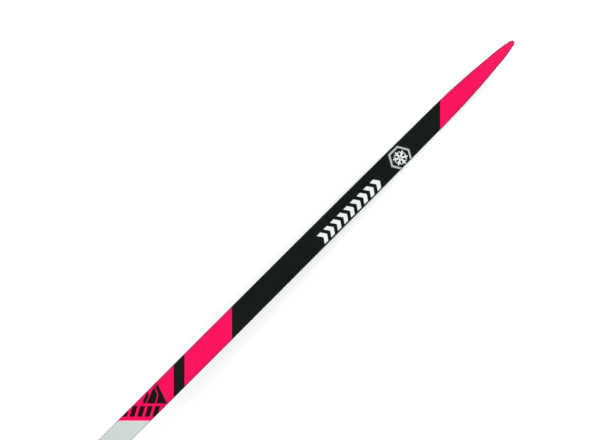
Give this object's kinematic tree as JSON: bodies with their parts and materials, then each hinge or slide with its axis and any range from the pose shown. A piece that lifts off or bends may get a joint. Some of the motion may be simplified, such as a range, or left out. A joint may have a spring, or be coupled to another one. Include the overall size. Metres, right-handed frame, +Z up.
{
  "type": "cross-country ski",
  "caption": "Long narrow classic cross-country ski with upturned tip, camber, printed topsheet, mohair grip skin and a sliding toe-and-heel boot binding with a dial-worked jaw.",
  "frame": {"origin": "on the snow under the middle of the ski's bounding box", "axes": "+X towards the tip along the ski, +Y to the skier's left, +Z up"},
  "size_m": [2.06, 0.044, 0.0789],
  "materials": {
    "base_plastic": "satin sintered running base",
    "glass_laminate": "cured glass-fibre laminate in dark resin",
    "core_wood": "planed lightweight wood",
    "core_cell": "resin-dipped paper honeycomb",
    "core_insert": "dense black foam insert",
    "sidewall_plastic": "polished sidewall plastic",
    "topsheet_print": "printed film under clear gloss",
    "guard_plastic": "moulded impact plastic",
    "skin_backing": "woven glue-backed tape",
    "skin_pile": "short directional mohair pile",
    "skin_nose_plastic": "thin moulded nose cover",
    "binding_black": "glass-filled nylon, fine grain",
    "rail_grey": "glass-filled nylon, fine grain",
    "cover_white": "moulded gloss",
    "dial_pink": "moulded gloss",
    "cam_acetal": "low-friction acetal",
    "bright_steel": "brushed stainless",
    "spring_steel": "tempered leaf",
    "screw_steel": "machined",
    "soft_rubber": "moulded elastomer",
    "flexor_rubber": "moulded elastomer"
  },
  "bodies": {
    "ski": {"base_sheet": "base_plastic", "lower_laminate": "glass_laminate", "core_stringers": "core_wood", "core_honeycomb": "core_cell", "binding_reinforcement": "glass_laminate", "sidewall_left": "sidewall_plastic", "sidewall_right": "sidewall_plastic", "tip_insert": "core_insert", "tail_insert": "core_insert", "upper_laminate": "glass_laminate", "topsheet": "topsheet_print", "tail_guard": "guard_plastic", "skin_backing": "skin_backing", "skin_pile": "skin_pile", "skin_nose": "skin_nose_plastic", "rail_plate_front": "rail_grey", "rail_plate_rear": "rail_grey"},
    "toe_unit": {"toe_base": "binding_black", "toe_cover": "cover_white", "toe_pads": "soft_rubber", "toe_lock_spring": "spring_steel", "toe_lock_rivet": "screw_steel", "cover_screws": "screw_steel", "dial_post": "bright_steel", "click_spring": "spring_steel"},
    "dial": {"dial_knob": "dial_pink", "scroll_cam": "cam_acetal", "dial_screws": "screw_steel"},
    "jaw": {"jaw_plate": "bright_steel", "follower_pin": "bright_steel"},
    "flexor": {"flexor": "flexor_rubber"},
    "heel_unit": {"heel_base": "binding_black", "heel_pad": "soft_rubber", "heel_lock_spring": "spring_steel", "heel_lock_rivet": "screw_steel"}
  },
  "joints": [
    {"name": "toe_position", "type": "slide", "parent": "ski", "child": "toe_unit", "axis": [0.9999, 0, 0.0165], "range_m": [-0.015, 0.015], "deforming": ["toe_lock_spring"]},
    {"name": "heel_position", "type": "slide", "parent": "ski", "child": "heel_unit", "axis": [0.9999, 0, 0.0165], "range_m": [-0.02, 0.02], "deforming": ["heel_lock_spring"]},
    {"name": "dial_turn", "type": "hinge", "parent": "toe_unit", "child": "dial", "pos_m": [-0.07235, 0, 0.07228], "axis": [-0.0165, 0, 0.9999], "range_deg": [0, 90], "deforming": ["click_spring"]},
    {"name": "jaw_slide", "type": "slide", "parent": "toe_unit", "child": "jaw", "axis": [0.9999, 0, 0.0165], "range_m": [0, 0.00502]},
    {"name": "flexor_out", "type": "slide", "parent": "toe_unit", "child": "flexor", "axis": [-0.0165, 0, 0.9999], "range_m": [0, 0.018]}
  ],
  "couplings": [
    {"joint": "jaw_slide", "follows": "dial_turn", "m_per_rad": 0.0031831}
  ]
}
